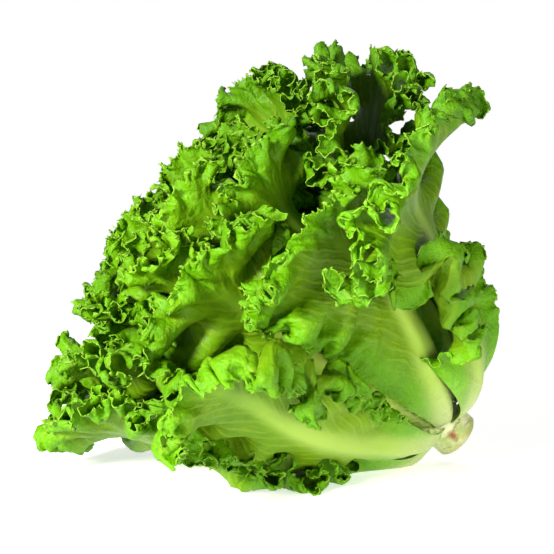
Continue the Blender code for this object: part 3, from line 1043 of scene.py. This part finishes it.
def leaf_material(ring):
    n = LeafNodes(ring)
    colour = n.colour(LEAF_FINISHES[ring])
    relief = n.relief()
    surface = n.add("BsdfPrincipled", {
        "Base Color": colour, "Roughness": 0.45, "Specular IOR Level": 0.2, "Normal": relief,
    })
    glow_colour = n.mix(GLOW_SHARE, colour, GLOW_COLOUR)
    through = n.add("BsdfTranslucent", {"Color": glow_colour, "Normal": relief})
    thin = n.times(n.off_rib, n.fade(n.along, 0.05, 0.35))
    share = n.times(thin, TRANSLUCENT_SHARE)
    return n.finish(n.add("MixShader", {0: share, 1: surface.outputs[0], 2: through.outputs[0]}))


def stump_material():
    """Pale whitish green, browned at the cut, with scars where the outer leaves broke off."""
    n = Nodes(bpy.data.materials.new("stump"))
    place = n.add("TexCoord").outputs["Object"]
    colour = n.mix(n.fade(n.noise(place, 110.0, 4.0), 0.38, 0.66), STUMP_GREEN, STUMP_WHITE)
    from_centre = n.vector("ADD", place, tuple(-STUMP_POINT))
    towards_cut = n.vector("DOT_PRODUCT", from_centre, tuple(-AXIS))
    wobble = n.times(n.minus(n.noise(place, 160.0), 0.5), STUMP_WOBBLE)
    level = n.plus(towards_cut, wobble)
    near_cut = n.fade(level, STUMP_TAIL - 7.0 * MM, STUMP_TAIL + 1.0 * MM)
    colour = n.mix(n.times(near_cut, 0.5), colour, CUT_BROWN)
    height = n.noise(place, 250.0, 4.0)
    for scar_level, strength in SCARS:
        off = n.math("ABSOLUTE", n.minus(level, scar_level))
        broken = n.fade(n.noise(place, 75.0, 2.0), 0.42, 0.60)
        scar = n.times(n.fade(off, 0.8 * MM, 0.1 * MM), broken)
        colour = n.mix(n.times(scar, strength), colour, SCAR_BROWN)
        height = n.minus(height, n.times(scar, 0.8))
    stain_place = STUMP_POINT + STUMP_RADIUS * FRONT - STAIN_TOWARDS_CUT * AXIS
    stain = n.plus(n.vector("DISTANCE", place, tuple(stain_place)), wobble)
    around = n.fade(stain, STAIN_RADIUS, 0.3 * STAIN_RADIUS)
    colour = n.mix(n.times(around, 0.7), colour, STAIN_BROWN)
    core = n.fade(stain, 0.45 * STAIN_RADIUS, 0.1 * STAIN_RADIUS)
    colour = n.mix(n.times(core, 0.8), colour, STAIN_CORE)
    bump = n.add("Bump", {"Strength": 0.6, "Distance": 1.0 * MM, "Height": height}).outputs[0]
    return n.finish(n.add("BsdfPrincipled", {"Base Color": colour, "Roughness": 0.5, "Normal": bump}))


def floor_material():
    """White, and lit from within away from the object so that it ends in a white background."""
    n = Nodes(bpy.data.materials.new("floor"))
    place = n.add("TexCoord").outputs["Object"]
    near = n.add("BsdfPrincipled", {
        "Base Color": n.mix(n.noise(place, 2.0, 2.0), *FLOOR_TONES), "Roughness": 0.3,
        "Emission Color": WHITE, "Emission Strength": FLOOR_GLOW,
    })
    far = n.add("Emission", {"Color": WHITE, "Strength": 1.0})
    away = n.fade(n.vector("LENGTH", place), *FLOOR_FADE)
    return n.finish(n.add("MixShader", {0: away, 1: near.outputs[0], 2: far.outputs[0]}))


def aim(obj, direction):
    """Turns a camera or a light to look in a direction."""
    obj.rotation_mode = "QUATERNION"
    obj.rotation_quaternion = direction.to_track_quat("-Z", "Y")


def add_camera():
    camera = bpy.data.cameras.new("camera")
    camera.sensor_width = SENSOR
    camera.lens = SENSOR * CAMERA_DISTANCE / (FRAME_PIXELS * MM_PER_PIXEL * MM)
    camera.clip_start = 0.01
    obj = bpy.data.objects.new("camera", camera)
    bpy.context.scene.collection.objects.link(obj)
    height = (REST_LINE_PIXEL - FRAME_PIXELS / 2) * MM_PER_PIXEL * MM / math.cos(CAMERA_ELEVATION)
    target = Vector((CAMERA_SIDEWAYS, 0.0, height))
    back = Vector((0.0, -math.cos(CAMERA_ELEVATION), math.sin(CAMERA_ELEVATION)))
    obj.location = target + back * CAMERA_DISTANCE
    aim(obj, -back)
    bpy.context.scene.camera = obj


def add_light(name, place, size, power, colour):
    light = bpy.data.lights.new(name, "AREA")
    light.shape = "DISK"
    light.size = size
    light.energy = power
    light.color = colour
    obj = bpy.data.objects.new(name, light)
    obj.location = place
    aim(obj, Vector(LIGHT_AIM) - Vector(place))
    bpy.context.scene.collection.objects.link(obj)


def add_floor():
    mesh = bpy.data.meshes.new("floor")
    corners = [(x * FLOOR_HALF, y * FLOOR_HALF, 0) for x, y in ((-1, -1), (1, -1), (1, 1), (-1, 1))]
    mesh.from_pydata(corners, [], [(0, 1, 2, 3)])
    floor = bpy.data.objects.new("floor", mesh)
    bpy.context.scene.collection.objects.link(floor)
    mesh.materials.append(floor_material())


def add_world():
    """White where the camera sees it, and dimmer where it lights the object."""
    n = Nodes(bpy.data.worlds.new("studio"))
    seen = n.add("Background", {"Color": WHITE, "Strength": 1.0})
    light = n.add("Background", {"Color": WHITE, "Strength": AMBIENT_STRENGTH})
    from_camera = n.add("LightPath").outputs["Is Camera Ray"]
    both = n.add("MixShader", {0: from_camera, 1: light.outputs[0], 2: seen.outputs[0]})
    bpy.context.scene.world = n.finish(both, "OutputWorld")


def main():
    add_camera()
    add_floor()
    add_world()
    for light in LIGHTS:
        add_light(*light)
    bpy.context.scene.view_settings.view_transform = "Standard"
    materials = {ring: leaf_material(ring) for ring in LEAF_FINISHES}
    for index in range(LEAF_COUNT):
        add_leaf(Leaf(index), materials)
    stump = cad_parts["stump"]
    stump.data.materials.clear()
    stump.data.materials.append(stump_material())


main()
